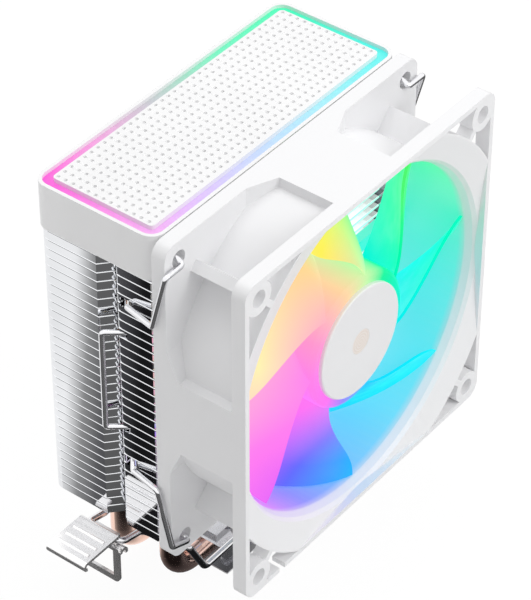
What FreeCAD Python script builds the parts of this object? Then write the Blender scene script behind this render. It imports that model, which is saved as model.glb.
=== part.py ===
import FreeCAD, Part
import math
import os
import re

import Sketcher

from FreeCAD import Placement, Rotation, Vector

# Tower cooler for a computer processor, in millimetres. The origin is the centre of the base's contact face.
# +Z points away from the processor, -Y is the side that the fan draws air from, and X runs along the heat pipes.

os.makedirs("parts", exist_ok=True)
doc = FreeCAD.newDocument("TowerCooler")

# ---------------------------------------------------------------- driving sizes
SIZES = {
    # base block
    "BaseWidth": 39.0, "BaseDepth": 32.6, "BaseSplit": 4.0, "BaseTop": 7.9,
    "RecessDepth": 2.0, "RecessLow": 2.75, "RecessHigh": 4.85,
    "GuideWidth": 35.6, "GuideDepth": 23.4, "GuideThick": 1.2,
    "BaseScrewX": 12.0, "BaseScrewY": 13.1, "GuideScrewX": 14.0,
    # heat pipes
    "PipeRadius": 3.0, "PipeLeg": 30.0, "PipeRow": 7.7, "PipeBend": 7.3, "PipeTop": 111.5,
    # fin stack
    "FinHalf": 44.0, "FinFront": -16.0, "FinRear": 16.8, "FinTop": 107.93, "FinPitch": 2.525,
    "FinCount": 31.0, "FinSheet": 0.4, "FinBend": 0.34, "TabDrop": 2.4, "TabReveal": 0.5, "FinCorner": 3.0,
    "GrooveY": -2.9, "GrooveHalf": 2.9, "GrooveDepth": 3.3, "FinFit": 0.02,
    # top cover
    "CoverHalf": 44.3, "CoverFront": -17.2, "CoverRear": 17.8, "CoverLow": 108.16, "CoverHigh": 120.4,
    "CoverWall": 1.6, "CoverCorner": 4.0, "RimWall": 0.9, "RimDrop": 3.0, "CoverFloor": 1.2,
    "RingWidth": 2.3, "RingHigh": 2.1, "PlateHigh": 3.2, "PanelFit": 0.1,
    "BoardLow": 112.9, "BoardThick": 1.2, "LedSide": 1.6, "LedHigh": 1.0, "LedWindow": 1.2, "LedInset": 2.9,
    "PostX": 18.0, "PostRadius": 2.6, "CoverScrewRadius": 1.1,
    # fan frame, in the fan's own frame: z = 0 at its rear face, +z towards the intake
    "FanSide": 92.0, "FanDepth": 25.4, "FanRear": -17.6, "FanHigh": 74.5, "FanHole": 82.5,
    "FanHoleRadius": 2.15, "FanCorner": 3.5, "Flange": 3.7, "BoreRadius": 43.5, "BoreFlare": 1.0,
    "MouthRadius": 51.5, "LipRadius": 45.0, "LipDeep": 1.75, "ThroatDeep": 4.5,
    "DuctRadius": 44.7, "BlockHalf": 10.5, "GussetHalf": 18.6, "GussetHigh": 7.0, "WebThick": 2.8,
    "WebReach": 51.5, "EdgeStrip": 1.4, "MouthRing": 51.9, "BossRadius": 4.2, "BossRib": 1.6,
    "CupRadius": 18.0, "CupThick": 2.2, "StrutWide": 3.6, "StrutThick": 2.4, "TubeOuter": 4.6,
    "TubeInner": 3.0, "TubeTop": 15.0, "LabelRadius": 14.5, "LabelDeep": 0.4, "NotchX": -32.5,
    # rotor and motor
    "HubRadius": 17.5, "HubFace": 22.0, "HubLow": 4.6, "HubWall": 1.3, "HubRim": 0.35,
    "BladeCount": 7.0, "BladeTip": 42.7, "BladeFront": 20.9, "BladeRear": 4.8, "BladeThick": 1.3,
    "ShaftRadius": 1.5, "SleeveFit": 0.04, "MagnetInner": 13.9, "YokeInner": 15.2,
    "StatorRadius": 13.4, "StatorLow": 6.2, "StatorHigh": 13.2, "PoleWide": 4.4, "CoilWide": 8.0,
    "FanBoardLow": 3.2, "FanBoardThick": 1.0, "CapRadius": 14.7, "CapFace": 22.7, "BadgeRadius": 3.2, "BadgeThick": 0.2,
    # fan clips
    "ClipWire": 1.4, "ClipBend": 1.5, "ClipX": 42.4, "ClipY": -7.4, "ClipHoleRadius": 0.77,
    "ClipEntry": 24.4, "HandleHalf": 14.1,
    # mounting clip
    "LoopWire": 1.8, "LoopBend": 2.0, "LoopBarX": 45.5, "LoopBarZ": 24.6, "LoopHalf": 5.3,
    "LoopLedgeY": 15.8, "HookSheet": 0.8, "HookX": 46.4, "HookHalf": 5.8, "HookLow": 12.5,
    "WindowHalf": 4.1, "WindowLow": 14.3, "WindowHigh": 22.5, "TabHigh": 27.9, "TabReach": 58.0,
    "KnuckleInner": 0.96, "KnuckleOuter": 1.7, "KnuckleHalf": 3.6, "HemHigh": 23.58, "HemHalf": 6.4,
}

sheet = doc.addObject("Spreadsheet::Sheet", "Sizes")
for row, (alias, number) in enumerate(SIZES.items(), start=1):
    sheet.set(f"A{row}", alias)
    sheet.set(f"B{row}", str(number))
    sheet.setAlias(f"B{row}", alias)
doc.recompute()


def size(alias):
    """The number in the sheet's cell of that alias."""
    return float(sheet.get(alias))


def linked(text):
    """An expression in which each alias is written as a cell of the sheet."""
    return re.sub(r"\b[A-Z][A-Za-z]+", lambda word: "Sizes." + word.group(0), text)


def number(text):
    """What such an expression comes to now, for a sketch's starting geometry."""
    return float(sheet.evalExpression(linked(text)))


# ---------------------------------------------------------------- helpers for features
def place(item, at, rotation=None):
    item.Placement = Placement(Vector(), rotation or Rotation())
    for axis, text in zip("xyz", at):
        item.setExpression("Placement.Base." + axis, linked(text))


def in_fan(item):
    """Stands a piece of the fan, modelled along its own axis, behind the intake."""
    place(item, ("0", "FanRear", "FanHigh"), Rotation(Vector(1, 0, 0), 90))
    return item


def body(label):
    made = doc.addObject("PartDesign::Body", label)
    made.Label = label
    return made


def sketch(owner, plane="XY_Plane", height="0"):
    made = owner.newObject("Sketcher::SketchObject", owner.Name + "_sketch")
    origin = next(f for f in owner.Origin.OriginFeatures if f.Role == plane)
    made.AttachmentSupport = [(origin, "")]
    made.MapMode = "FlatFace"
    made.setExpression("AttachmentOffset.Base.z", linked(height))
    return made


def pin_point(drawing, geometry, point, x, y):
    """Holds one point of a sketch at two expressions."""
    for kind, text in (("DistanceX", x), ("DistanceY", y)):
        index = drawing.addConstraint(Sketcher.Constraint(kind, -1, 1, geometry, point, number(text)))
        drawing.setExpression(f"Constraints[{index}]", linked(text))


def polygon(drawing, points):
    corners = [Vector(number(x), number(y), 0) for x, y in points]
    lines = [drawing.addGeometry(Part.LineSegment(corner, corners[(i + 1) % len(corners)]))
             for i, corner in enumerate(corners)]
    for i, line in enumerate(lines):
        drawing.addConstraint(Sketcher.Constraint("Coincident", line, 2, lines[(i + 1) % len(lines)], 1))
    for line, (x, y) in zip(lines, points):
        pin_point(drawing, line, 1, x, y)


def rectangle(drawing, low_x, low_y, high_x, high_y):
    polygon(drawing, [(low_x, low_y), (high_x, low_y), (high_x, high_y), (low_x, high_y)])


def circle(drawing, x, y, radius):
    made = drawing.addGeometry(Part.Circle(Vector(number(x), number(y), 0), Vector(0, 0, 1), number(radius)))
    pin_point(drawing, made, 3, x, y)
    index = drawing.addConstraint(Sketcher.Constraint("Radius", made, number(radius)))
    drawing.setExpression(f"Constraints[{index}]", linked(radius))


def pad(owner, drawing, length, down=False):
    made = owner.newObject("PartDesign::Pad", owner.Name + "_pad")
    made.Profile = drawing
    made.setExpression("Length", linked(length))
    made.Reversed = down
    doc.recompute()
    return made


def pocket(owner, drawing, length=None, up=False, both_ways=False):
    """Cuts a profile to a depth, or right through both ways. The volume has to fall."""
    before = owner.Shape.Volume
    made = owner.newObject("PartDesign::Pocket", owner.Name + "_pocket")
    made.Profile = drawing
    if length is None:
        made.Type = "ThroughAll"
    else:
        made.setExpression("Length", linked(length))
    made.Midplane = both_ways
    made.Reversed = up
    doc.recompute()
    if owner.Shape.Volume >= before:
        raise RuntimeError(f"a pocket in {owner.Label} cuts nothing")
    return made


def round_edges(owner, radius, test, kind="Fillet"):
    """Fillets or chamfers the edges of the body's tip that pass the test."""
    tip = owner.Tip
    names = [f"Edge{i}" for i, edge in enumerate(tip.Shape.Edges, start=1) if test(edge)]
    made = owner.newObject("PartDesign::" + kind, owner.Name + "_" + kind.lower())
    made.Base = (tip, names)
    made.setExpression("Radius" if kind == "Fillet" else "Size", linked(radius))
    doc.recompute()
    return made


def is_upright(edge):
    """True for a straight edge along the sketch's own normal."""
    if len(edge.Vertexes) != 2:
        return False
    step = edge.Vertexes[1].Point - edge.Vertexes[0].Point
    return abs(step.x) < 1e-6 and abs(step.y) < 1e-6


def revolved(owner, points):
    """A full turn about the fan's axis of a profile given as (radius, height) pairs."""
    drawing = sketch(owner, "XZ_Plane")
    polygon(drawing, points)
    made = owner.newObject("PartDesign::Revolution", owner.Name + "_turn")
    made.Profile = drawing
    made.ReferenceAxis = (drawing, ["V_Axis"])
    made.Angle = 360.0
    doc.recompute()
    return made


def solid_feature(label, shape):
    """A piece whose shape is worked out here with Part's own functions."""
    made = doc.addObject("Part::Feature", label)
    made.Label = label
    made.Shape = shape
    return made


def bent_rod(points, bend, radius, closed=False):
    """Round rod along straight runs joined by arcs of one bend radius."""
    count = len(points)
    pieces, starts, ends = [], {}, {}
    inner = range(count) if closed else range(1, count - 1)
    for i in inner:
        here, before, after = points[i], points[i - 1], points[(i + 1) % count]
        back, ahead = (before - here).normalize(), (after - here).normalize()
        half = back.getAngle(ahead) / 2
        reach = bend / math.tan(half)
        centre = here + (back + ahead).normalize() * (bend / math.sin(half))
        ends[i], starts[i] = here + back * reach, here + ahead * reach
        section = Part.Face(Part.Wire(Part.makeCircle(radius, ends[i], back * -1)))
        pieces.append(section.revolve(centre, back.cross(ahead) * -1, 180 - math.degrees(half * 2)))
    for i in range(count if closed else count - 1):
        j = (i + 1) % count
        start, end = starts.get(i, points[i]), ends.get(j, points[j])
        pieces.append(Part.makeCylinder(radius, (end - start).Length, start, end - start))
    return pieces[0].multiFuse(pieces[1:]).removeSplitter()


def mirror_x(shape):
    return shape.mirror(Vector(), Vector(1, 0, 0))


def cylinder_at(radius, low, high, x=0.0, y=0.0):
    return Part.makeCylinder(radius, high - low, Vector(x, y, low))


def box_between(low, high):
    low, high = Vector(*low), Vector(*high)
    step = high - low
    return Part.makeBox(step.x, step.y, step.z, low)


def screws(label, positions, head_under, head_radius, head_high, shank_radius, shank_long, flip=False):
    """Round-headed screws with a crosswise drive slot, one solid each."""
    slot = 0.45
    turned = []
    for x, y in positions:
        head = cylinder_at(head_radius, 0, head_high)
        head = head.makeFillet(head_high * 0.4, [e for e in head.Edges if e.BoundBox.ZMin > head_high - 0.01
                                                 and e.Closed])
        for angle in (0, 90):
            blade = box_between((-head_radius * 0.6, -slot / 2, head_high * 0.5),
                                (head_radius * 0.6, slot / 2, head_high + 1))
            blade.rotate(Vector(), Vector(0, 0, 1), angle)
            head = head.cut(blade)
        screw = head.fuse(cylinder_at(shank_radius, -shank_long, 0))
        if flip:
            screw.rotate(Vector(), Vector(1, 0, 0), 180)
        screw.translate(Vector(x, y, head_under))
        turned.append(screw)
    return solid_feature(label, Part.makeCompound(turned))


# ---------------------------------------------------------------- base block
PIPE_ROWS = ("PipeRow", "-PipeRow")


def pipe_grooves(owner):
    drawing = sketch(owner, "YZ_Plane")
    for y in PIPE_ROWS:
        circle(drawing, y, "BaseSplit", "PipeRadius + FinFit")
    pocket(owner, drawing, both_ways=True)


def edge_recesses(owner, low, high):
    """The shallow channel along the front and rear faces of the base."""
    drawing = sketch(owner, "YZ_Plane")
    for sign in ("", "-"):
        inner, outer = f"{sign}(BaseDepth / 2 - RecessDepth)", f"{sign}(BaseDepth / 2 + 1)"
        polygon(drawing, [(inner, low), (outer, low), (outer, high), (inner, high)])
    pocket(owner, drawing, both_ways=True)


def base_screw_holes(owner, height, radius, depth=None):
    drawing = sketch(owner, height=height)
    for x in ("BaseScrewX", "-BaseScrewX"):
        for y in ("BaseScrewY", "-BaseScrewY"):
            circle(drawing, x, y, radius)
    pocket(owner, drawing, depth)


def guide_screw_holes(owner, height, radius, depth=None):
    drawing = sketch(owner, height=height)
    for x in ("GuideScrewX", "-GuideScrewX"):
        circle(drawing, x, "0", radius)
    pocket(owner, drawing, depth)


def block(label, width, depth, low, high):
    made = body(label)
    drawing = sketch(made, height=low)
    rectangle(drawing, f"-{width} / 2", f"-{depth} / 2", f"{width} / 2", f"{depth} / 2")
    pad(made, drawing, f"{high} - {low}")
    return made


base_plate = block("base_plate", "BaseWidth", "BaseDepth", "0", "BaseSplit")
pipe_grooves(base_plate)
edge_recesses(base_plate, "RecessLow", "BaseSplit + 1")
base_screw_holes(base_plate, "BaseSplit", "1", "3")

base_cover = block("base_cover", "BaseWidth", "BaseDepth", "BaseSplit", "BaseTop")
pipe_grooves(base_cover)
edge_recesses(base_cover, "BaseSplit - 1", "RecessHigh")
base_screw_holes(base_cover, "BaseTop", "1.1")
guide_screw_holes(base_cover, "BaseTop", "1", "3")

clip_guide = block("clip_guide", "GuideWidth", "GuideDepth", "BaseTop", "(BaseTop + GuideThick)")
guide_screw_holes(clip_guide, "BaseTop + GuideThick", "1.1")

screws("base_screws", [(x * size("BaseScrewX"), y * size("BaseScrewY")) for x in (-1, 1) for y in (-1, 1)],
       size("BaseTop"), 1.35, 0.9, 0.98, size("BaseTop") - 1.2)
screws("guide_screws", [(x * size("GuideScrewX"), 0) for x in (-1, 1)],
       size("BaseTop") + size("GuideThick"), 2.0, 1.2, 0.98, 3.8)


# ---------------------------------------------------------------- heat pipes
def heat_pipe(label, y):
    leg, low, top, radius = size("PipeLeg"), size("BaseSplit"), size("PipeTop"), size("PipeRadius")
    route = [Vector(-leg, y, top), Vector(-leg, y, low), Vector(leg, y, low), Vector(leg, y, top)]
    pipe = bent_rod(route, size("PipeBend"), radius)
    for x in (-leg, leg):
        pipe = pipe.fuse(Part.makeCone(radius, radius * 0.4, 1.2, Vector(x, y, top)))
    return solid_feature(label, pipe.removeSplitter())


heat_pipe("heat_pipe_front", -size("PipeRow"))
heat_pipe("heat_pipe_rear", size("PipeRow"))


# ---------------------------------------------------------------- fin stack
def slanted_tab(drawing, side, far_y, deep_y):
    """A folded tab along one flank of the clip groove, as a thin four-sided outline."""
    rise, run = f"(({deep_y}) - ({far_y}))", "GrooveDepth"
    slant = "sqrt(GrooveDepth ^ 2 + GrooveHalf ^ 2)"
    inset = (f"{side} * (FinSheet * abs({rise}) / {slant})", f"FinSheet * GrooveDepth / {slant}")
    outward = 1 if far_y.endswith("- GrooveHalf") else -1
    ends = []
    for share in ("0", "0.96"):
        x = f"{side} * (FinHalf - {share} * {run})"
        y = f"({far_y}) + {share} * {rise}"
        ends.append((x, y))
    (x1, y1), (x2, y2) = ends
    back = [(f"{x} - {inset[0]}", f"{y} - {outward} * {inset[1]}") for x, y in ((x2, y2), (x1, y1))]
    polygon(drawing, [(x1, y1), (x2, y2), *back])


def fin_plate():
    """One stamped fin: a flat sheet with clip grooves, and tabs folded down along its sides."""
    made = body("single_fin")
    drawing = sketch(made)
    left = [("-FinHalf", "FinRear"), ("-FinHalf", "GrooveY + GrooveHalf"), ("GrooveDepth - FinHalf", "GrooveY"),
            ("-FinHalf", "GrooveY - GrooveHalf"), ("-FinHalf", "FinFront")]
    right = [("FinHalf", "FinFront"), ("FinHalf", "GrooveY - GrooveHalf"), ("FinHalf - GrooveDepth", "GrooveY"),
             ("FinHalf", "GrooveY + GrooveHalf"), ("FinHalf", "FinRear")]
    polygon(drawing, left + right)
    pad(made, drawing, "FinSheet", down=True)
    holes = sketch(made)
    for x in ("PipeLeg", "-PipeLeg"):
        for y in PIPE_ROWS:
            circle(holes, x, y, "PipeRadius + FinFit")
    for x in ("ClipX", "-ClipX"):
        circle(holes, x, "ClipY", "ClipHoleRadius")
    for x in ("PostX", "-PostX"):
        circle(holes, x, "0", "CoverScrewRadius + 0.3")
    pocket(made, holes)
    rear = size("FinRear")
    round_edges(made, "FinCorner", lambda e: is_upright(e) and abs(e.Vertexes[0].Y - rear) < 1e-6)
    inside = size("FinHalf") - size("GrooveDepth") - 0.1
    round_edges(made, "FinBend", lambda e: e.BoundBox.ZMin > -1e-6 and abs(e.Vertexes[0].X) > inside
                and abs(e.Vertexes[-1].X) > inside and not e.Closed)
    for way, low, high in (("front", "FinFront + TabReveal", "GrooveY - GrooveHalf - 0.3"),
                           ("rear", "GrooveY + GrooveHalf", "FinRear - FinCorner")):
        tabs = sketch(made, height="-FinSheet")
        for side in ("-1", "1"):
            rectangle(tabs, f"{side} * (FinHalf - FinSheet)", low, f"{side} * FinHalf", high)
        pad(made, tabs, "TabDrop - FinSheet", down=True)
    flanks = sketch(made, height="-FinSheet")
    for side in ("-1", "1"):
        slanted_tab(flanks, side, "GrooveY + GrooveHalf", "GrooveY")
    pad(made, flanks, "TabDrop - FinSheet", down=True)
    low_z, end_y = -size("TabDrop"), size("GrooveY") - size("GrooveHalf") - 0.3
    round_edges(made, "0.9", lambda e: abs(e.BoundBox.ZMax - low_z) < 1e-6 and e.BoundBox.YLength < 1e-6
                and abs(e.Vertexes[0].Y - end_y) < 1e-6)
    return made


def corner_wrap(side):
    """The tab that follows the rounded rear corner of a fin and ends a little way along the rear edge."""
    radius, sheet_thick, drop = size("FinCorner"), size("FinSheet"), size("TabDrop")
    centre = Vector(side * (size("FinHalf") - radius), size("FinRear") - radius, -drop)
    tall = drop - sheet_thick
    outer, inner = (Part.makeCylinder(r, tall, centre) for r in (radius, radius - sheet_thick))
    low_x, high_x = sorted((centre.x, centre.x + side * (radius + 1)))
    quarter = box_between((low_x, centre.y, -drop), (high_x, centre.y + radius + 1, -sheet_thick))
    back = sorted((centre.x, centre.x - side * 3.0))
    strip = box_between((back[0], centre.y + radius - sheet_thick, -drop),
                        (back[1], centre.y + radius, -sheet_thick))
    return outer.cut(inner).common(quarter).fuse(strip)


def clip_slots():
    """Openings in the side walls where each fan clip's wire goes in, and where its handle comes out."""
    x, y, fan, entry, handle = (size(a) for a in ("ClipX", "ClipY", "FanHigh", "ClipEntry", "HandleHalf"))
    slots = []
    for side in (-1, 1):
        low_x, high_x = sorted((side * (x - 1.0), side * (size("FinHalf") + 1)))
        for middle, half_z, low_y, high_y in ((entry - 0.7, 1.35, y - 2.6, y + 0.9),
                                              (handle, 0.85, y - 0.9, y + 2.8)):
            for way in (-1, 1):
                centre = fan + way * middle
                slots.append(box_between((low_x, low_y, centre - half_z), (high_x, high_y, centre + half_z)))
    return Part.makeCompound(slots)


single_fin = fin_plate()
one_fin = single_fin.Shape.fuse([corner_wrap(-1), corner_wrap(1)]).removeSplitter()
slots = clip_slots()
levels = [size("FinTop") - i * size("FinPitch") for i in range(int(size("FinCount")))]
fin_solids = []
for level in levels:
    fin = one_fin.copy()
    fin.translate(Vector(0, 0, level))
    if any(fin.BoundBox.intersect(slot.BoundBox) for slot in slots.Solids):
        fin = max(fin.cut(slots).Solids, key=lambda solid: solid.Volume)
    fin_solids.append(fin)
solid_feature("fins", Part.makeCompound(fin_solids))


# ---------------------------------------------------------------- top cover and its light
PANEL_X = "(CoverHalf - RimWall)"
PANEL_FRONT, PANEL_REAR = "(CoverFront + RimWall)", "(CoverRear - RimWall)"


def inset_box(drawing, inset):
    """A rectangle inside the cover's rim, moved in by an inset on each side."""
    rectangle(drawing, f"-({PANEL_X} - {inset})", f"{PANEL_FRONT} + {inset}",
              f"{PANEL_X} - {inset}", f"{PANEL_REAR} - {inset}")


def led_places():
    """Centres of the light sources, under the ring's inner edge."""
    inset = size("LedInset")
    x, front, rear = size("CoverHalf") - inset, size("CoverFront") + inset, size("CoverRear") - inset
    long_sides = [(step * x * 0.42, y) for step in (-2, -1, 0, 1, 2) for y in (front, rear)]
    return long_sides + [(-x, (front + rear) / 2), (x, (front + rear) / 2)]


top_cover = body("top_cover")
drawing = sketch(top_cover, height="CoverLow")
rectangle(drawing, "-CoverHalf", "CoverFront", "CoverHalf", "CoverRear")
pad(top_cover, drawing, "CoverHigh - CoverLow")
drawing = sketch(top_cover, height="CoverHigh")
inset_box(drawing, "0")
pocket(top_cover, drawing, "RimDrop")
drawing = sketch(top_cover, height="CoverLow")
inset_box(drawing, "(CoverWall - RimWall)")
pocket(top_cover, drawing, "CoverHigh - CoverLow - RimDrop - CoverFloor", up=True)
for wall in ("RimWall", "CoverWall", "0"):
    corner_x = size("CoverHalf") - number(wall)
    round_edges(top_cover, f"CoverCorner - {wall}",
                lambda e: is_upright(e) and abs(abs(e.Vertexes[0].X) - corner_x) < 1e-6)
drawing = sketch(top_cover, height="CoverLow")
for x in ("PostX", "-PostX"):
    circle(drawing, x, "0", "PostRadius")
pad(top_cover, drawing, "CoverHigh - CoverLow - RimDrop - CoverFloor / 2")
drawing = sketch(top_cover, height="CoverLow")
for x in ("PostX", "-PostX"):
    circle(drawing, x, "0", "CoverScrewRadius - 0.1")
pocket(top_cover, drawing, "5", up=True)
drawing = sketch(top_cover, height="BoardLow + BoardThick")
for x in ("38", "-38"):
    rectangle(drawing, f"{x} - 1.5", "-1.5", f"{x} + 1.5", "1.5")
pad(top_cover, drawing, "CoverHigh - RimDrop - CoverFloor / 2 - BoardLow - BoardThick")
drawing = sketch(top_cover, height="CoverHigh - RimDrop")
for x, y in led_places():
    circle(drawing, str(round(x, 3)), str(round(y, 3)), "LedWindow / 2")
pocket(top_cover, drawing, "CoverFloor")

light_ring = body("light_ring")
drawing = sketch(light_ring, height="CoverHigh - RimDrop")
inset_box(drawing, "PanelFit")
pad(light_ring, drawing, "RingHigh")
round_edges(light_ring, "CoverCorner - RimWall - PanelFit", is_upright)
drawing = sketch(light_ring, height="CoverHigh - RimDrop")
inset_box(drawing, "RingWidth")
pocket(light_ring, drawing, "RingHigh", up=True)
ring_inner = size("CoverHalf") - size("RimWall") - size("RingWidth")
round_edges(light_ring, "1.2", lambda e: is_upright(e) and abs(abs(e.Vertexes[0].X) - ring_inner) < 1e-6)

top_plate = body("top_plate")
drawing = sketch(top_plate, height="CoverHigh - RimDrop")
inset_box(drawing, "(RingWidth + PanelFit)")
pad(top_plate, drawing, "PlateHigh")
round_edges(top_plate, "1.1", is_upright)

light_board = body("light_board")
drawing = sketch(light_board, height="BoardLow")
inset_box(drawing, "(CoverWall - RimWall + 0.4)")
pad(light_board, drawing, "BoardThick")
round_edges(light_board, "2.4", is_upright)
drawing = sketch(light_board, height="BoardLow")
for x in ("PostX", "-PostX"):
    circle(drawing, x, "0", "PostRadius + 0.2")
pocket(light_board, drawing, "BoardThick", up=True)

board_top, led, led_high = size("BoardLow") + size("BoardThick"), size("LedSide") / 2, size("LedHigh")
solid_feature("ring_leds", Part.makeCompound([
    box_between((x - led, y - led, board_top), (x + led, y + led, board_top + led_high)) for x, y in led_places()]))
solid_feature("board_socket", box_between((-4, -3, board_top), (4, 3, board_top + 1.8)).cut(
    box_between((-3.2, -4, board_top + 0.4), (3.2, 1.5, board_top + 1.4))))
screws("cover_screws", [(x * size("PostX"), 0) for x in (-1, 1)],
       size("FinTop") - size("FinSheet"), 1.9, 1.0, 0.98, 4.6, flip=True)


# ---------------------------------------------------------------- fan frame
def corner_cutter():
    """What is taken out of one corner: the space between the flanges, and the pockets of the front flange."""
    half, depth, flange = size("FanSide") / 2, size("FanDepth"), size("Flange")
    block_half, hole = size("BlockHalf"), size("FanHole") / 2
    space = box_between((block_half, block_half, flange), (half + 1, half + 1, depth - flange))
    space = space.cut(cylinder_at(size("DuctRadius"), 0, depth))
    web = box_between((0, -size("WebThick") / 2, 0), (size("WebReach"), size("WebThick") / 2, depth))
    web.rotate(Vector(), Vector(0, 0, 1), 45)
    space = space.cut(web)
    foot = [(block_half - 1, flange - 1), (size("GussetHalf"), flange - 1), (size("GussetHalf"), flange - 0.2),
            (block_half, size("GussetHigh")), (block_half - 1, size("GussetHigh"))]
    along_x = Part.Face(Part.makePolygon([Vector(a, half + 2, z) for a, z in foot + foot[:1]]))
    along_y = Part.Face(Part.makePolygon([Vector(half + 2, a, z) for a, z in foot + foot[:1]]))
    space = space.cut(along_x.extrude(Vector(0, -half, 0))).cut(along_y.extrude(Vector(-half, 0, 0)))
    inner = half - size("EdgeStrip")
    mouth = box_between((0, 0, depth - flange - 1), (inner, inner, depth + 1))
    mouth = mouth.cut(cylinder_at(size("MouthRing"), 0, depth + 2))
    mouth = mouth.cut(cylinder_at(size("BossRadius"), 0, depth + 2, hole, hole))
    rib = box_between((0, -size("BossRib") / 2, 0), (hole * math.sqrt(2), size("BossRib") / 2, depth + 2))
    rib.rotate(Vector(), Vector(0, 0, 1), 45)
    corner = mouth.cut(rib)
    open_pockets = [piece for piece in corner.Solids if piece.Volume > 4]
    return Part.makeCompound([*space.Solids, *open_pockets])


frame_block = body("frame_block")
drawing = sketch(frame_block)
rectangle(drawing, "-FanSide / 2", "-FanSide / 2", "FanSide / 2", "FanSide / 2")
pad(frame_block, drawing, "FanDepth")
round_edges(frame_block, "FanCorner", is_upright)
drawing = sketch(frame_block)
circle(drawing, "0", "0", "BoreRadius")
pocket(frame_block, drawing, up=True)
bore = size("BoreRadius")
round_edges(frame_block, "BoreFlare",
            lambda e: e.Closed and abs(e.BoundBox.XLength - 2 * bore) < 0.01 and e.BoundBox.ZMax < 0.01, "Chamfer")
drawing = sketch(frame_block)
for x in ("FanHole / 2", "-FanHole / 2"):
    for y in ("FanHole / 2", "-FanHole / 2"):
        circle(drawing, x, y, "FanHoleRadius")
pocket(frame_block, drawing, up=True)
for wide, tall in (("44", "StrutWide / 2"), ("StrutWide / 2", "44")):
    drawing = sketch(frame_block)
    rectangle(drawing, f"-{wide}", f"-{tall}", wide, tall)
    pad(frame_block, drawing, "StrutThick")
for radius, height in (("CupRadius", "CupThick"), ("TubeOuter", "TubeTop")):
    drawing = sketch(frame_block)
    circle(drawing, "0", "0", radius)
    pad(frame_block, drawing, height)
drawing = sketch(frame_block, height="CupThick - 0.8")
circle(drawing, "0", "0", "TubeInner")
pocket(frame_block, drawing, "TubeTop", up=True)
drawing = sketch(frame_block)
circle(drawing, "0", "0", "LabelRadius + 0.2")
pocket(frame_block, drawing, "LabelDeep", up=True)
drawing = sketch(frame_block, height="FanDepth")
rectangle(drawing, "NotchX - 1", "-FanSide / 2 - 1", "NotchX + 1", "EdgeStrip - FanSide / 2")
pocket(frame_block, drawing, "Flange")

def mouth_cutter():
    """The dished mouth of the duct, kept inside the frame's thin outer strip."""
    front, inner = size("FanDepth"), size("FanSide") / 2 - size("EdgeStrip")
    lip = front - size("LipDeep")
    outline = [(0, front + 1), (size("MouthRadius"), front + 1), (size("MouthRadius"), front),
               (size("LipRadius"), lip), (size("LipRadius") - 0.8, lip - 0.9),
               (size("BoreRadius"), front - size("ThroatDeep")), (0, front - size("ThroatDeep"))]
    face = Part.Face(Part.makePolygon([Vector(r, 0, z) for r, z in outline + outline[:1]]))
    dish = face.revolve(Vector(), Vector(0, 0, 1), 360)
    return dish.common(box_between((-inner, -inner, 0), (inner, inner, front + 2)))


quarter_cut = corner_cutter()
corner_cuts = [quarter_cut, mirror_x(quarter_cut)]
corner_cuts += [cut.mirror(Vector(), Vector(0, 1, 0)) for cut in corner_cuts]
corner_spaces = solid_feature("corner_spaces", Part.makeCompound([*corner_cuts, mouth_cutter()]))
fan_frame = doc.addObject("Part::Cut", "fan_frame")
fan_frame.Label = "fan_frame"
fan_frame.Base, fan_frame.Tool = frame_block, corner_spaces
in_fan(fan_frame)


# ---------------------------------------------------------------- motor
def fan_ring(label, inner, outer, low, high):
    made = body(label)
    drawing = sketch(made, height=low)
    circle(drawing, "0", "0", outer)
    if inner:
        circle(drawing, "0", "0", inner)
    pad(made, drawing, f"{high} - ({low})")
    return in_fan(made)


fan_ring("motor_label", None, "LabelRadius", "LabelDeep - 0.2", "LabelDeep")
fan_ring("bearing_sleeve", "ShaftRadius + SleeveFit", "TubeInner - 0.02", "CupThick + 0.8", "TubeTop - 0.5")
fan_ring("thrust_washer", None, "ShaftRadius + 1", "CupThick - 0.75", "CupThick - 0.4")
fan_ring("fan_board", "TubeOuter + 0.1", "HubRadius - 5", "FanBoardLow", "FanBoardLow + FanBoardThick")
fan_ring("magnet_ring", "MagnetInner", "YokeInner - 0.02", "StatorLow", "StatorHigh + 2")
fan_ring("rotor_yoke", "YokeInner", "HubRadius - HubWall - 0.02", "HubLow + 0.4", "HubFace - HubWall - 0.02")
fan_ring("hub_badge", None, "BadgeRadius", "CapFace - BadgeThick - 0.02", "CapFace - 0.02")
hub_cap = fan_ring("hub_cap", None, "CapRadius", "HubFace - HubRim + 0.02", "CapFace")
round_edges(hub_cap, "0.45", lambda e: e.Closed and e.BoundBox.ZMin > size("CapFace") - 0.01)
drawing = sketch(hub_cap, height="CapFace")
circle(drawing, "0", "0", "BadgeRadius + 0.03")
pocket(hub_cap, drawing, "BadgeThick + 0.05")

tube, pole, reach = size("TubeOuter") + 0.05, size("PoleWide") / 2, size("StatorRadius")
stator_low, stator_high = size("StatorLow"), size("StatorHigh")
shoes = cylinder_at(reach, stator_low, stator_high).cut(cylinder_at(reach - 1.6, stator_low, stator_high))
core = cylinder_at(tube + 2.2, stator_low, stator_high)
coils = []
for angle in range(0, 360, 90):
    turn = Rotation(Vector(0, 0, 1), angle)
    for shape, low_y, high_y in ((core, -pole, pole), (None, -size("CoilWide") / 2, size("CoilWide") / 2)):
        arm = box_between((tube + (1 if shape else 2.4), low_y, stator_low - (0 if shape else 1.2)),
                          (reach - (1 if shape else 2.6), high_y, stator_high + (0 if shape else 1.2)))
        if shape:
            core = core.fuse(Part.Shape(arm.transformGeometry(Placement(Vector(), turn).toMatrix())))
        else:
            inner = box_between((0, -pole - 0.02, stator_low - 0.02), (reach, pole + 0.02, stator_high + 0.02))
            coil = arm.cut(inner)
            coils.append(coil.transformGeometry(Placement(Vector(), turn).toMatrix()))
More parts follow.
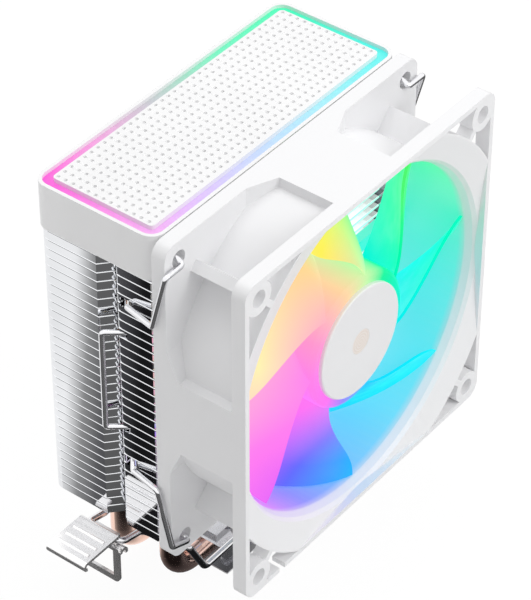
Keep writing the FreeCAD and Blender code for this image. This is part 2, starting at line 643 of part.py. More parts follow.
for angle in range(45, 405, 90):
    gap = box_between((reach - 3, -1.2, 0), (reach + 1, 1.2, 20))
    gap.rotate(Vector(), Vector(0, 0, 1), angle)
    shoes = shoes.cut(gap)
core = core.fuse(shoes).cut(cylinder_at(tube, 0, 30)).removeSplitter()
in_fan(solid_feature("stator_core", core))
in_fan(solid_feature("stator_coils", Part.makeCompound(coils)))

board_face = size("FanBoardLow") + size("FanBoardThick")
led_ring = []
for angle in range(45, 405, 90):
    lamp = box_between((9.4, -1, board_face), (11.4, 1, board_face + 0.7))
    lamp.rotate(Vector(), Vector(0, 0, 1), angle)
    led_ring.append(lamp)
in_fan(solid_feature("fan_leds", Part.makeCompound(led_ring)))

# ---------------------------------------------------------------- rotor
rotor_shaft = body("rotor_shaft")
revolved(rotor_shaft, [
    ("0", "CupThick - 0.38"), ("ShaftRadius - 0.3", "CupThick - 0.38"), ("ShaftRadius", "CupThick - 0.1"),
    ("ShaftRadius", "CupThick + 0.1"), ("ShaftRadius - 0.3", "CupThick + 0.1"),
    ("ShaftRadius - 0.3", "CupThick + 0.5"), ("ShaftRadius", "CupThick + 0.5"),
    ("ShaftRadius", "HubFace - HubWall - 0.02"), ("0", "HubFace - HubWall - 0.02")])
in_fan(rotor_shaft)
fan_ring("retaining_ring", "ShaftRadius - 0.28", "ShaftRadius + 0.9", "CupThick + 0.15", "CupThick + 0.45")

hub_cup = body("hub_cup")
revolved(hub_cup, [
    ("0", "HubFace - HubRim"), ("0", "HubFace - HubWall"), ("ShaftRadius + 2.2", "HubFace - HubWall"),
    ("HubRadius - HubWall", "HubFace - HubWall"), ("HubRadius - HubWall", "HubLow"), ("HubRadius", "HubLow"),
    ("HubRadius", "HubFace - 1.3"), ("HubRadius - 0.3", "HubFace - 0.7"),
    ("HubRadius - 1.0", "HubFace - HubRim")])

BLADE_SWEEP, BLADE_CURL = 36.0, 2.0
TIP_START, TIP_WRAP, ROOT_WRAP = 116.0, 34.0, 53.0


def blade_skin(way):
    """One skin of the blade, through points on cylinders from inside the hub's wall out to the tip."""
    tip, root = size("BladeTip"), size("HubRadius")
    inner = root - 0.7
    front, rear = size("BladeFront"), size("BladeRear")
    rows = []
    for row in range(8):
        radius = inner + (tip - inner) * row / 7
        share = min(1.0, (tip - radius) / (tip - root))
        start = TIP_START - BLADE_SWEEP * share ** BLADE_CURL
        wrap = TIP_WRAP + (ROOT_WRAP - TIP_WRAP) * share
        points = []
        for column in range(9):
            along = column / 8
            angle = math.radians(start - wrap * along)
            height = front + (rear - front) * (0.62 * along + 0.38 * along ** 1.8)
            half = size("BladeThick") / 2 * (0.4 + 0.6 * math.sin(math.pi * (0.1 + 0.8 * along)))
            points.append(Vector(radius * math.cos(angle), radius * math.sin(angle), height + way * half))
        rows.append(points)
    surface = Part.BSplineSurface()
    surface.interpolate(rows)
    return surface


def blade_solid():
    """Closes the two skins with ruled faces round the edge."""
    skins = [blade_skin(1), blade_skin(-1)]
    faces = [skin.toShape() for skin in skins]
    u_low, u_high, v_low, v_high = skins[0].bounds()
    for u in (u_low, u_high):
        faces.append(Part.makeRuledSurface(*(skin.uIso(u).toShape() for skin in skins)))
    for v in (v_low, v_high):
        faces.append(Part.makeRuledSurface(*(skin.vIso(v).toShape() for skin in skins)))
    shell = Part.makeShell(faces)
    shell.sewShape()
    blade = Part.makeSolid(shell)
    if blade.Volume < 0:
        blade.reverse()
    return blade


one_blade = blade_solid()
blades = []
for i in range(int(size("BladeCount"))):
    blade = one_blade.copy()
    blade.rotate(Vector(), Vector(0, 0, 1), 360 * i / size("BladeCount"))
    blades.append(blade)
in_fan(solid_feature("impeller", hub_cup.Shape.multiFuse(blades)))


# ---------------------------------------------------------------- fan clips
def fan_clip(label, side):
    """A bent wire: two hooks in the fan's rear holes, two arms, and a finger handle out of the groove."""
    rear, fan, hole = size("FanRear"), size("FanHigh"), size("FanHole") / 2
    front_of_flange = rear - size("Flange") - 1.0
    x, y, entry, handle = size("ClipX"), size("ClipY"), size("ClipEntry"), size("HandleHalf")
    arm_x = size("FanSide") / 2 + 1.05
    upper = [(hole - 0.1, rear - 2.2, hole + 0.3), (hole - 0.1, front_of_flange, hole - 1.2),
             (arm_x, front_of_flange, hole - 1.3), (arm_x, rear - 0.7, entry), (45.3, y - 2.4, entry),
             (x, y, entry - 1.4), (x, y, handle), (46.2, y + 4.7, handle)]
    lower = [(a, b, -c) for a, b, c in reversed(upper)]
    lower[-2:] = [(hole - 0.1, front_of_flange, -hole - 1.0), (hole - 0.1, rear - 2.2, -hole - 0.2)]
    route = [Vector(side * a, b, fan + c) for a, b, c in upper + lower]
    radius = size("ClipWire") / 2
    wire = bent_rod(route, 0.8, radius)
    return solid_feature(label, wire)


fan_clip("fan_clip_left", -1)
fan_clip("fan_clip_right", 1)


# ---------------------------------------------------------------- mounting clip
def wire_loop():
    """The spring wire that runs along both ledges of the base and rises to a cross bar at each end."""
    bar_x, bar_z, half, ledge = size("LoopBarX"), size("LoopBarZ"), size("LoopHalf"), size("LoopLedgeY")
    radius = size("LoopWire") / 2
    low_z = size("BaseTop") + radius + 0.02
    run = [(bar_x, half, bar_z), (38.0, half, bar_z - 1.8), (33.3, ledge, bar_z - 4.9), (27.5, ledge, low_z)]
    corner = [Vector(*point) for point in run]
    rear_left = [Vector(-p.x, p.y, p.z) for p in corner]
    front_left = [Vector(-p.x, -p.y, p.z) for p in reversed(corner)]
    front_right = [Vector(p.x, -p.y, p.z) for p in corner]
    rear_right = [Vector(*point) for point in reversed(run)]
    route = [*reversed(rear_left), *reversed(front_left), *reversed(front_right), *reversed(rear_right)]
    return solid_feature("mount_wire", bent_rod(route, size("LoopBend"), radius, closed=True))


def hook_plate(label, side):
    """A pressed hook: a finger tab on top, a slotted plate below and a knuckle round the wire's cross bar."""
    thick, inner, half = size("HookSheet"), size("HookX"), size("HookHalf")
    low, high, reach = size("HookLow"), size("TabHigh"), size("TabReach")
    plate = box_between((inner, -half, low), (inner + thick, half, high - 0.4))
    corners = [e for e in plate.Edges if e.BoundBox.XLength > thick / 2 and e.BoundBox.ZMax < low + 0.1]
    plate = plate.makeFillet(1.4, corners)
    window = box_between((inner - 1, -size("WindowHalf"), size("WindowLow")),
                         (inner + thick + 1, size("WindowHalf"), size("WindowHigh")))
    plate = plate.cut(window)
    hems = []
    hem_high, hem_half = size("HemHigh"), size("HemHalf")
    for way in (-1, 1):
        near, far = sorted((way * (size("KnuckleHalf") + 0.15), way * (half + 1)))
        plate = plate.cut(box_between((inner - 1, near, hem_high), (inner + thick + 1, far, high)))
        radius = 1.4
        hem_y = way * (hem_half + size("WindowHalf")) / 2 - (hem_half - size("WindowHalf")) / 2
        at = Vector(inner + thick - radius, hem_y, hem_high - radius)
        long = hem_half - size("WindowHalf")
        hem = Part.makeCylinder(radius, long, at, Vector(0, 1, 0))
        hem = hem.cut(Part.makeCylinder(radius - thick, long, at, Vector(0, 1, 0)))
        hem = hem.common(box_between((at.x - radius, at.y, at.z), (at.x + radius, at.y + long, at.z + radius)))
        tip = box_between((at.x - radius, at.y, at.z - 0.7), (at.x - radius + thick, at.y + long, at.z))
        hems += [hem, tip]
    tab = box_between((inner, -half, high - thick), (reach, half, high))
    bend_edge = [e for e in tab.Edges if e.BoundBox.YLength > half and e.BoundBox.XMax < inner + 0.1
                 and e.BoundBox.ZMin > high - 0.1]
    tab = tab.makeFillet(0.6, bend_edge)
    roll_radius = thick + 0.5
    roll_centre = Vector(reach, -half, high - roll_radius)
    roll = Part.makeCylinder(roll_radius, 2 * half, roll_centre, Vector(0, 1, 0))
    roll = roll.cut(Part.makeCylinder(roll_radius - thick, 2 * half, roll_centre, Vector(0, 1, 0)))
    keep = box_between((reach, -half, high - 6), (reach + 3, half, high + 1))
    roll = roll.common(keep)
    ridges = [Part.makeCylinder(0.55, 2 * half - 2.4, Vector(x, 1.2 - half, high - 0.2), Vector(0, 1, 0))
              for x in (50.7, 53.4, 56.1)]
    centre = Vector(size("LoopBarX"), -size("KnuckleHalf"), size("LoopBarZ"))
    long = 2 * size("KnuckleHalf")
    knuckle = Part.makeCylinder(size("KnuckleOuter"), long, centre, Vector(0, 1, 0))
    open_top = box_between((centre.x - 3, -half, centre.z + 0.5), (inner + 0.2, half, centre.z + 4))
    knuckle = knuckle.cut(open_top)
    made = plate.multiFuse([tab, roll, knuckle, *ridges, *hems])
    made = made.cut(Part.makeCylinder(size("KnuckleInner"), long + 6, centre - Vector(0, 3, 0), Vector(0, 1, 0)))
    made = made.removeSplitter()
    if side < 0:
        made = mirror_x(made)
    return solid_feature(label, made)


wire_loop()
hook_plate("mount_hook_left", -1)
hook_plate("mount_hook_right", 1)

# ---------------------------------------------------------------- checks and export
NODES = [
    "base_plate", "base_cover", "clip_guide", "base_screws", "guide_screws", "heat_pipe_front", "heat_pipe_rear",
    "fins", "top_cover", "light_ring", "top_plate", "light_board", "ring_leds", "board_socket", "cover_screws",
    "fan_frame", "motor_label", "bearing_sleeve", "thrust_washer", "fan_board", "fan_leds", "stator_core",
    "stator_coils", "impeller", "hub_cap", "hub_badge", "rotor_yoke", "magnet_ring", "rotor_shaft", "retaining_ring",
    "fan_clip_left", "fan_clip_right", "mount_wire", "mount_hook_left", "mount_hook_right",
]

doc.recompute()
for item in doc.Objects:
    if any(word in item.State for word in ("Invalid", "Error")):
        raise RuntimeError(f"{item.Label} did not compute")
for label in NODES:
    piece = doc.getObjectsByLabel(label)[0]
    if piece.Shape.isNull() or not piece.Shape.isValid() or not piece.Shape.Solids:
        raise RuntimeError(f"{label} has no valid solid")
    piece.Shape.exportStep(f"parts/{label}.step")
    box = piece.Shape.BoundBox
    print(f"{label:18s} {len(piece.Shape.Solids):3d} solids {piece.Shape.Volume:10.1f} mm3 "
          f"x {box.XMin:7.2f} {box.XMax:7.2f} y {box.YMin:7.2f} {box.YMax:7.2f} z {box.ZMin:7.2f} {box.ZMax:7.2f}")
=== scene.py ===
import math

import bmesh
import bpy
from mathutils import Matrix, Vector


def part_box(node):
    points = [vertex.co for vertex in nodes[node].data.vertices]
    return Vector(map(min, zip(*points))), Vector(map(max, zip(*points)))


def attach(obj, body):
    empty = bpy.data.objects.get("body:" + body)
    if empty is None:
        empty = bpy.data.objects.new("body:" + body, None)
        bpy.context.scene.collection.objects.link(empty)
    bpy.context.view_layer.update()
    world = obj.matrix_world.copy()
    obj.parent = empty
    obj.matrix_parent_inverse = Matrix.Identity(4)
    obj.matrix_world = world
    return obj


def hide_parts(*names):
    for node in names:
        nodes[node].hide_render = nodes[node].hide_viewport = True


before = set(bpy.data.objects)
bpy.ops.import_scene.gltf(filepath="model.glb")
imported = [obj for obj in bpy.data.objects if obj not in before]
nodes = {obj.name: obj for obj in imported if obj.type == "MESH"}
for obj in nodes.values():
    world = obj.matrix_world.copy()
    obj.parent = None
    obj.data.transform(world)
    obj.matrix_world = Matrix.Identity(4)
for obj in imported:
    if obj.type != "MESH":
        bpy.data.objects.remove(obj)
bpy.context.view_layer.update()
scene = bpy.context.scene


# ---------------------------------------------------------------- node helpers
class Look:
    """A Principled material under construction, with short calls for the nodes it needs."""

    def __init__(self, name, color, metallic=0.0, roughness=0.4, **sockets):
        self.mat = bpy.data.materials.new(name)
        self.mat.use_nodes = True
        self.tree = self.mat.node_tree
        self.shader = self.tree.nodes["Principled BSDF"]
        self.put("Base Color", (*color, 1.0))
        self.put("Metallic", metallic)
        self.put("Roughness", roughness)
        for socket, value in sockets.items():
            self.put(socket.replace("_", " "), value)
        self.coords = self.node("ShaderNodeTexCoord").outputs["Object"]

    def put(self, socket, value):
        if isinstance(value, bpy.types.NodeSocket):
            self.tree.links.new(value, self.shader.inputs[socket])
        else:
            self.shader.inputs[socket].default_value = value

    def node(self, kind, inputs=None, **settings):
        made = self.tree.nodes.new(kind)
        for key, value in settings.items():
            setattr(made, key, value)
        for key, value in (inputs or {}).items():
            if isinstance(value, bpy.types.NodeSocket):
                self.tree.links.new(value, made.inputs[key])
            else:
                made.inputs[key].default_value = value
        return made

    def math(self, operation, a, b=0.0, c=0.0, clamp=False):
        return self.node("ShaderNodeMath", {0: a, 1: b, 2: c}, operation=operation, use_clamp=clamp).outputs[0]

    def axes(self, source=None):
        split = self.node("ShaderNodeSeparateXYZ", {0: source or self.coords})
        return split.outputs[0], split.outputs[1], split.outputs[2]

    def stretch(self, scale):
        return self.node("ShaderNodeMapping", {"Vector": self.coords, "Scale": scale}).outputs[0]

    def noise(self, scale, detail=3.0, vector=None):
        made = self.node("ShaderNodeTexNoise", {"Vector": vector or self.coords, "Scale": scale, "Detail": detail})
        return made.outputs["Fac"]

    def spread(self, value, low, high, out_low, out_high):
        made = self.node("ShaderNodeMapRange", {0: value, 1: low, 2: high, 3: out_low, 4: out_high})
        return made.outputs[0]

    def ramp(self, value, stops, mode="LINEAR"):
        made = self.node("ShaderNodeValToRGB", {0: value})
        band = made.color_ramp
        band.interpolation = mode
        while len(band.elements) < len(stops):
            band.elements.new(0.5)
        for element, (place, color) in zip(band.elements, stops):
            element.position = place
            element.color = (*color, 1.0)
        return made.outputs[0]

    def mix(self, factor, a, b, blend="MIX"):
        made = self.node("ShaderNodeMix", data_type="RGBA", blend_type=blend)
        for index, value in ((0, factor), (6, a), (7, b)):
            if isinstance(value, bpy.types.NodeSocket):
                self.tree.links.new(value, made.inputs[index])
            elif index == 0:
                made.inputs[index].default_value = value
            else:
                made.inputs[index].default_value = (*value, 1.0)
        return made.outputs[2]

    def bump(self, height, strength, distance):
        made = self.node("ShaderNodeBump", {"Strength": strength, "Distance": distance, "Height": height})
        self.put("Normal", made.outputs[0])


def wear(node_name, look):
    """Puts a look in every material slot of a CAD node."""
    piece = nodes[node_name]
    for slot in piece.material_slots:
        slot.material = look.mat
    if not piece.material_slots:
        piece.data.materials.append(look.mat)


def moulded(name, color, roughness, grain=2600.0, depth=0.00002, **sockets):
    """Injection-moulded plastic: a fine, even texture with slightly uneven gloss."""
    look = Look(name, color, 0.0, roughness, **sockets)
    fine = look.noise(grain, 4.0)
    broad = look.noise(38.0, 2.0)
    look.put("Roughness", look.spread(broad, 0.3, 0.7, roughness - 0.05, roughness + 0.06))
    darker = tuple(c * 0.965 for c in color)
    look.put("Base Color", look.mix(look.spread(broad, 0.35, 0.7, 0.0, 1.0), color, darker))
    look.bump(fine, 0.35, depth)
    return look


def plated(name, color, roughness, grain=900.0):
    """Bright plated metal with a faint drawn grain."""
    look = Look(name, color, 1.0, roughness)
    drawn = look.noise(grain, 3.0, look.stretch((1.0, 1.0, 0.12)))
    look.put("Roughness", look.spread(drawn, 0.3, 0.7, max(0.02, roughness - 0.05), roughness + 0.07))
    broad = look.noise(60.0, 2.0)
    look.put("Base Color", look.mix(look.spread(broad, 0.3, 0.7, 0.0, 1.0), color, tuple(c * 0.94 for c in color)))
    look.bump(drawn, 0.12, 0.00001)
    return look


# ---------------------------------------------------------------- looks of the CAD pieces
# The fan's light, as (share of a turn round the axis, colour). It changes a little near the hub.
fan_low, fan_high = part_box("fan_frame")
axis_z = (fan_low[2] + fan_high[2]) / 2
RIM_HUES = [
    (0.0, (1.0, 0.50, 0.62)), (0.06, (1.0, 0.20, 0.84)), (0.13, (0.70, 0.10, 0.95)), (0.19, (0.12, 0.14, 1.0)),
    (0.25, (0.0, 0.44, 1.0)), (0.33, (0.0, 0.74, 1.0)), (0.44, (0.0, 0.88, 0.84)), (0.52, (0.0, 0.92, 0.58)),
    (0.61, (0.0, 0.92, 0.30)), (0.69, (0.08, 0.90, 0.14)), (0.76, (0.66, 0.90, 0.14)), (0.81, (1.0, 0.84, 0.08)),
    (0.94, (0.98, 0.84, 0.42)), (1.0, (1.0, 0.50, 0.62))]
HUB_HUES = [
    (0.0, (1.0, 0.22, 0.80)), (0.12, (1.0, 0.18, 0.90)), (0.20, (0.30, 0.26, 1.0)), (0.29, (0.0, 0.56, 1.0)),
    (0.40, (0.0, 0.80, 0.95)), (0.55, (0.0, 0.90, 0.58)), (0.65, (0.0, 0.90, 0.34)), (0.72, (0.55, 0.90, 0.40)),
    (0.80, (1.0, 0.62, 0.36)), (0.92, (1.0, 0.30, 0.62)), (1.0, (1.0, 0.22, 0.80))]


def round_the_axis(look):
    """(colour round the fan's axis, distance from it) for a look on a piece of the fan."""
    x, _, z = look.axes()
    up = look.math("SUBTRACT", z, axis_z)
    share = look.spread(look.math("ARCTAN2", up, x), -math.pi, math.pi, 0.0, 1.0)
    reach = look.math("SQRT", look.math("ADD", look.math("MULTIPLY", x, x), look.math("MULTIPLY", up, up)))
    outward = look.spread(reach, 0.018, 0.036, 0.0, 1.0)
    return look.mix(outward, look.ramp(share, HUB_HUES), look.ramp(share, RIM_HUES)), reach


BLACK = (0.0, 0.0, 0.0)
SHELL_WHITE = (0.86, 0.86, 0.865)
FAN_WHITE = (0.84, 0.84, 0.85)
# Painted shade: the near-black that the white inside of the fan's bore is darkened towards.
BORE_PAINTED_SHADE = (0.02, 0.02, 0.02)
DUCT_OUTER, DUCT_INNER = 0.0438, 0.0434     # the glow fades in over the bore's edge, metres from the axis
LIP_START, LIP_END = 0.0040, 0.0062         # and over this depth behind the fan's front face

shell_white = moulded("shell_white", SHELL_WHITE, 0.36)
# The inside of the fan's bore carries painted light, the fan's colours as emission, and painted shade, its white
# base colour darkened nearly to black.
frame_white = moulded("frame_white", FAN_WHITE, 0.42, Emission_Strength=0.78)
duct_hues, duct_reach = round_the_axis(frame_white)
_, duct_y, _ = frame_white.axes()
in_bore = frame_white.spread(duct_reach, DUCT_OUTER, DUCT_INNER, 0.0, 1.0)
behind_lip = frame_white.spread(duct_y, fan_low[1] + LIP_START, fan_low[1] + LIP_END, 0.0, 1.0)
duct_share = frame_white.math("MULTIPLY", in_bore, behind_lip)
frame_white.put("Emission Color", frame_white.mix(duct_share, BLACK, duct_hues))
bore_painted_shade_share = frame_white.math("MULTIPLY", duct_share, 0.8)
frame_white.put("Base Color", frame_white.mix(bore_painted_shade_share, FAN_WHITE, BORE_PAINTED_SHADE))
cap_white = moulded("hub_cap_white", FAN_WHITE, 0.38)

nickel = plated("base_nickel", (0.78, 0.78, 0.80), 0.16)
clip_steel = plated("clip_wire", (0.80, 0.80, 0.82), 0.12)
hook_steel = plated("hook_plate", (0.93, 0.92, 0.92), 0.24)
hook_steel.put("Metallic", 0.8)
hook_haze = hook_steel.noise(40.0, 2.0)
hook_steel.put("Roughness", hook_steel.spread(hook_haze, 0.3, 0.7, 0.16, 0.24))
hook_steel.bump(hook_haze, 0.02, 0.000004)
screw_steel = plated("screw_steel", (0.62, 0.62, 0.64), 0.26)
shaft_steel = plated("shaft_steel", (0.70, 0.70, 0.72), 0.2)
core_steel = plated("core_steel", (0.38, 0.39, 0.41), 0.45, 4000.0)
yoke_steel = plated("yoke_steel", (0.50, 0.50, 0.52), 0.35)
bronze = plated("sintered_bronze", (0.60, 0.44, 0.26), 0.45, 5000.0)
coil_copper = plated("coil_wire", (0.74, 0.38, 0.22), 0.28, 5200.0)

copper = Look("pipe_copper", (0.93, 0.63, 0.52), 1.0, 0.14)
drawn = copper.noise(420.0, 3.0, copper.stretch((1.0, 1.0, 0.06)))
copper.put("Roughness", copper.spread(drawn, 0.3, 0.7, 0.1, 0.2))
tarnish = copper.noise(48.0, 3.0)
copper.put("Base Color", copper.mix(copper.spread(tarnish, 0.35, 0.75, 0.0, 1.0),
                                    (0.94, 0.66, 0.56), (0.86, 0.52, 0.40)))
copper.bump(drawn, 0.12, 0.00001)

board_white = moulded("board_white", (0.80, 0.80, 0.78), 0.4)
board_green = moulded("board_green", (0.03, 0.16, 0.07), 0.35)
socket_ivory = moulded("socket_ivory", (0.76, 0.72, 0.60), 0.45)
nylon = moulded("nylon", (0.82, 0.82, 0.79), 0.5)
magnet = moulded("bonded_magnet", (0.03, 0.03, 0.032), 0.6, 1500.0, 0.00004)
label_film = moulded("label_film", (0.62, 0.62, 0.64), 0.3)
led_body = moulded("led_body", (0.85, 0.85, 0.70), 0.2)

fin_look = Look("fin_aluminium", (0.80, 0.81, 0.83), 1.0, 0.14, Emission_Strength=0.5)
rolled = fin_look.noise(700.0, 3.0, fin_look.stretch((0.08, 0.08, 1.0)))
fin_look.put("Roughness", fin_look.spread(rolled, 0.3, 0.7, 0.03, 0.07))
smudge = fin_look.noise(55.0, 2.0)
fin_look.put("Base Color", fin_look.mix(fin_look.spread(smudge, 0.3, 0.7, 0.0, 1.0),
                                        (0.84, 0.85, 0.87), (0.76, 0.77, 0.79)))
fin_look.bump(rolled, 0.02, 0.000004)
# The fan's light on the fins' front edges, inside their folded sides.
GLOW_DEPTH, SIDE_MARGIN = 0.012, 0.004
fins_low, fins_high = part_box("fins")
fin_hues, _ = round_the_axis(fin_look)
fx, fy, _ = fin_look.axes()
near_fan = fin_look.spread(fy, fins_low[1] + GLOW_DEPTH, fins_low[1], 0.0, 1.0)
inside = fin_look.math("LESS_THAN", fin_look.math("ABSOLUTE", fx), fins_high[0] - SIDE_MARGIN)
pale = fin_look.mix(0.85, fin_hues, (1.0, 1.0, 1.0))
glow_share = fin_look.math("MULTIPLY", near_fan, inside)
fin_look.put("Emission Color", fin_look.mix(glow_share, BLACK, pale))

badge = Look("hub_badge", (0.86, 0.85, 0.85), 0.0, 0.35)
RING_TURNS = 9000.0                         # radians of the turned rings per metre outwards
bx, _, bz = badge.axes()
badge_low, badge_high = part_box("hub_badge")
dx = badge.math("SUBTRACT", bx, (badge_low[0] + badge_high[0]) / 2)
dz = badge.math("SUBTRACT", bz, (badge_low[2] + badge_high[2]) / 2)
spin = badge.math("SQRT", badge.math("ADD", badge.math("MULTIPLY", dx, dx), badge.math("MULTIPLY", dz, dz)))
rings = badge.math("SINE", badge.math("MULTIPLY", spin, RING_TURNS))
badge.put("Base Color", badge.mix(badge.spread(rings, -1.0, 1.0, 0.0, 1.0), (0.80, 0.72, 0.66), (0.86, 0.80, 0.76)))
badge.bump(rings, 0.2, 0.00002)

# The light ring: colour runs round it, from the side it is on and how far along that side a point lies.
ring_low, ring_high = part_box("light_ring")
ring = Look("ring_light", (0.5, 0.5, 0.5), 0.0, 0.35, Emission_Strength=0.8)
rx, ry, _ = ring.axes()
along = ring.spread(rx, ring_low[0], ring_high[0], 0.0, 1.0)
across = ring.spread(ry, ring_low[1], ring_high[1], 0.0, 1.0)
front_side = ring.ramp(along, [(0.0, (0.88, 0.42, 0.84)), (0.18, (0.70, 0.50, 0.95)), (0.42, (0.55, 0.66, 0.98)),
                               (0.7, (0.38, 0.80, 0.92)), (1.0, (0.08, 0.85, 0.82))])
rear_side = ring.ramp(along, [(0.0, (0.95, 0.06, 0.65)), (0.22, (0.85, 0.35, 0.70)), (0.5, (0.45, 0.60, 0.55)),
                              (0.72, (0.15, 0.85, 0.50)), (1.0, (0.05, 0.90, 0.45))])
glow = ring.mix(across, front_side, rear_side)
grain = ring.noise(900.0, 2.0)
ring.put("Emission Color", glow)
ring.put("Base Color", ring.mix(ring.spread(grain, 0.3, 0.7, 0.74, 0.82), glow, BLACK))
ring.bump(grain, 0.2, 0.00002)

# Painted light: the blades glow with the fan's LED light, as emission in the fan's colours, over a base colour kept
# dark.
blade = Look("blade_translucent", (0.5, 0.5, 0.5), 0.0, 0.3, Emission_Strength=0.92, Specular_IOR_Level=0.25)
hues, _ = round_the_axis(blade)
frost = blade.noise(240.0, 3.0)
blade.put("Base Color", blade.mix(0.88, hues, BLACK))
blade.put("Emission Color", hues)
blade.put("Roughness", blade.spread(frost, 0.3, 0.7, 0.35, 0.5))
blade.bump(frost, 0.1, 0.00002)

LOOKS = {
    shell_white: ("top_cover", "top_plate"),
    frame_white: ("fan_frame",),
    fin_look: ("fins",),
    nickel: ("base_plate", "base_cover", "clip_guide"),
    screw_steel: ("base_screws", "guide_screws", "cover_screws"),
    copper: ("heat_pipe_front", "heat_pipe_rear"),
    ring: ("light_ring",),
    board_white: ("light_board",),
    led_body: ("ring_leds", "fan_leds"),
    socket_ivory: ("board_socket",),
    label_film: ("motor_label",),
    bronze: ("bearing_sleeve",),
    nylon: ("thrust_washer", "retaining_ring"),
    board_green: ("fan_board",),
    core_steel: ("stator_core",),
    coil_copper: ("stator_coils",),
    blade: ("impeller",),
    cap_white: ("hub_cap",),
    badge: ("hub_badge",),
    yoke_steel: ("rotor_yoke",),
    magnet: ("magnet_ring",),
    shaft_steel: ("rotor_shaft",),
    clip_steel: ("fan_clip_left", "fan_clip_right", "mount_wire"),
    hook_steel: ("mount_hook_left", "mount_hook_right"),
}
for look, names in LOOKS.items():
    for name in names:
        wear(name, look)


# ---------------------------------------------------------------- dimpled top plate
COLUMNS, ROWS, DIMPLE_SIDES = 37, 13, 12
DIMPLE_RADIUS, DIMPLE_DEPTH, FLOOR_SHARE = 0.00048, 0.00055, 0.75
MARGIN_X, SPARE_X = 0.00105, 0.0019         # first column's distance from the edge, and both margins together
MARGIN_Y, SPARE_Y = 0.0017, 0.0027


def dimpled(source, name, look):
    """A copy of a flat plate with rows of shallow round dimples sunk in its upper face."""
    low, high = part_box(source)
    bm = bmesh.new()
    bm.from_mesh(nodes[source].data)
    bmesh.ops.remove_doubles(bm, verts=bm.verts, dist=1e-6)
    bm.normal_update()
    upper = [f for f in bm.faces if f.normal.z > 0.99 and f.calc_center_median().z > high[2] - 1e-5]
    bmesh.ops.delete(bm, geom=upper, context="FACES")
    rim = [e for e in bm.edges if e.is_boundary]
    for column in range(COLUMNS):
        for row in range(ROWS):
            x = low[0] + MARGIN_X + column * (high[0] - low[0] - SPARE_X) / (COLUMNS - 1)
            y = low[1] + MARGIN_Y + row * (high[1] - low[1] - SPARE_Y) / (ROWS - 1)
            turns = [2 * math.pi * k / DIMPLE_SIDES for k in range(DIMPLE_SIDES)]
            edge, floor_edge = (
                [bm.verts.new((x + r * math.cos(t), y + r * math.sin(t), z)) for t in turns]
                for r, z in ((DIMPLE_RADIUS, high[2]), (DIMPLE_RADIUS * FLOOR_SHARE, high[2] - DIMPLE_DEPTH)))
            for k in range(DIMPLE_SIDES):
                n = (k + 1) % DIMPLE_SIDES
                wall = bm.faces.new((edge[k], floor_edge[k], floor_edge[n], edge[n]))
                wall.smooth = True
                lip = bm.edges.get((edge[k], edge[n]))
                lip.smooth = False
                rim.append(lip)
            bm.faces.new(floor_edge)
    bmesh.ops.triangle_fill(bm, use_beauty=True, use_dissolve=False, edges=rim)
    bmesh.ops.recalc_face_normals(bm, faces=bm.faces)
    mesh = bpy.data.meshes.new(name)
    bm.to_mesh(mesh)
    bm.free()
    mesh.materials.clear()
    mesh.materials.append(look.mat)
    made = bpy.data.objects.new(name, mesh)
    scene.collection.objects.link(made)
    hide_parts(source)
    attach(made, "tower")


dimpled("top_plate", "dimpled_top_plate", shell_white)

# ---------------------------------------------------------------- camera
camera = bpy.data.cameras.new("camera")
camera.lens = 173.7
camera.sensor_width = 36.0
camera.clip_start = 0.01
eye = bpy.data.objects.new("camera", camera)
scene.collection.objects.link(eye)
EYE_PLACE = (-0.40772, -0.32841, 0.50521)
EYE_ROLL = 0.16
forward = Vector((0.60576, 0.46897, -0.64275)).normalized()
right = forward.cross(Vector((0, 0, 1))).normalized()
above = right.cross(forward)
turned = Matrix((right, above, -forward)).transposed() @ Matrix.Rotation(math.radians(EYE_ROLL), 3, "Z")
eye.matrix_world = Matrix.Translation(EYE_PLACE) @ turned.to_4x4()
scene.camera = eye


# ---------------------------------------------------------------- floor and light
def sheet_of(name, size, place, look):
    """A flat square, facing up."""
    mesh = bpy.data.meshes.new(name)
    half = size / 2
    mesh.from_pydata([(-half, -half, 0), (half, -half, 0), (half, half, 0), (-half, half, 0)], [], [(0, 1, 2, 3)])
    made = bpy.data.objects.new(name, mesh)
    made.location = place
    mesh.materials.append(look.mat)
    scene.collection.objects.link(made)
    return made


def soft_light(name, place, target, size, power):
    """A white rectangular area light at place, turned to target."""
    lamp = bpy.data.lights.new(name, "AREA")
    lamp.shape = "RECTANGLE"
    lamp.size, lamp.size_y = size
    lamp.energy = power
    made = bpy.data.objects.new(name, lamp)
    made.location = place
    made.rotation_euler = (Vector(target) - Vector(place)).to_track_quat("-Z", "Y").to_euler()
    scene.collection.objects.link(made)
    return made


def for_camera(tree, seen, otherwise):
    """Chooses between two shaders: one that the camera sees, one that lights the object."""
    paths = tree.nodes.new("ShaderNodeLightPath")
    chooser = tree.nodes.new("ShaderNodeMixShader")
    tree.links.new(paths.outputs["Is Camera Ray"], chooser.inputs[0])
    tree.links.new(otherwise, chooser.inputs[1])
    tree.links.new(seen, chooser.inputs[2])
    return chooser.outputs[0]


FLOOR_OWN_LIGHT = 0.93                      # how much of the floor that the camera sees is its own light
floor_look = moulded("floor_white", (0.9, 0.9, 0.9), 0.7)
floor = sheet_of("floor", 8.0, (0, 0, 0), floor_look)
bright = floor_look.node("ShaderNodeEmission", {"Strength": 1.02})
blended = floor_look.node("ShaderNodeMixShader", {
    0: FLOOR_OWN_LIGHT, 1: floor_look.shader.outputs[0], 2: bright.outputs[0]})
surface = for_camera(floor_look.tree, blended.outputs[0], floor_look.shader.outputs[0])
floor_look.tree.links.new(surface, floor_look.tree.nodes["Material Output"].inputs["Surface"])

world = bpy.data.worlds.new("studio")
scene.world = world
world.use_nodes = True
sky = world.node_tree
around = sky.nodes["Background"]
around.inputs["Color"].default_value = (1.0, 1.0, 1.0, 1.0)
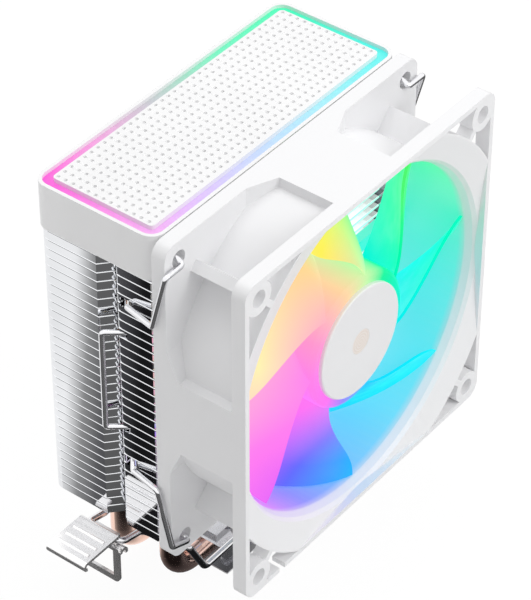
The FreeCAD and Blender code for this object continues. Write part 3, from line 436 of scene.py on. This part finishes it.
# The surrounding is brighter in reflections than as a light, so that bright metal stays bright.
SKY_LIGHT, SKY_GLOSS_EXTRA = 0.62, 0.6
rays = sky.nodes.new("ShaderNodeLightPath")
lift = sky.nodes.new("ShaderNodeMath")
lift.operation = "MULTIPLY_ADD"
sky.links.new(rays.outputs["Is Glossy Ray"], lift.inputs[0])
lift.inputs[1].default_value = SKY_GLOSS_EXTRA
lift.inputs[2].default_value = SKY_LIGHT
sky.links.new(lift.outputs[0], around.inputs["Strength"])
backdrop = sky.nodes.new("ShaderNodeBackground")
backdrop.inputs["Color"].default_value = (1.0, 1.0, 1.0, 1.0)
sky.links.new(for_camera(sky, backdrop.outputs[0], around.outputs[0]), sky.nodes["World Output"].inputs["Surface"])

# A card just over the floor, seen only in reflections: it gives the fins, pipes and wires dark and light to mirror.
# Its bands slant by the way in which the fins' side reflections run over the floor at the main camera's angle.
FIN_SIDE, CARD_SLANT = 0.044, 0.774
CARD_FROM, CARD_TO = -0.12, 0.03
CARD_GREYS = [
    (0.0, (0.13, 0.13, 0.13)), (0.48, (0.12, 0.12, 0.12)), (0.63, (0.012, 0.012, 0.013)),
    (0.767, (0.010, 0.010, 0.011)), (0.807, (0.06, 0.06, 0.065)), (0.847, (0.12, 0.12, 0.125)),
    (0.887, (0.30, 0.30, 0.30)), (0.927, (1.0, 1.0, 1.0))]
card_look = Look("card_grey", BLACK, 0.0, 1.0)
cx, cy, _ = card_look.axes()
away = card_look.math("SUBTRACT", FIN_SIDE, card_look.math("ABSOLUTE", cx))
lie = card_look.math("ADD", cy, card_look.math("MULTIPLY", away, CARD_SLANT))
shade = card_look.ramp(card_look.spread(lie, CARD_FROM, CARD_TO, 0.0, 1.0), CARD_GREYS)
lit = card_look.node("ShaderNodeEmission", {"Color": shade, "Strength": 1.0})
card_look.tree.links.new(lit.outputs[0], card_look.tree.nodes["Material Output"].inputs["Surface"])
card = sheet_of("card", 1.2, (0, 0, 0.0004), card_look)
card.visible_camera = card.visible_diffuse = card.visible_shadow = card.visible_transmission = False

soft_light("key", (0.25, -0.85, 0.75), (0, 0, 0.06), (0.5, 0.5), 4.3)
soft_light("top", (0.1, 0.1, 1.0), (0, 0, 0.1), (0.6, 0.6), 2.7)

scene.view_settings.view_transform = "Standard"
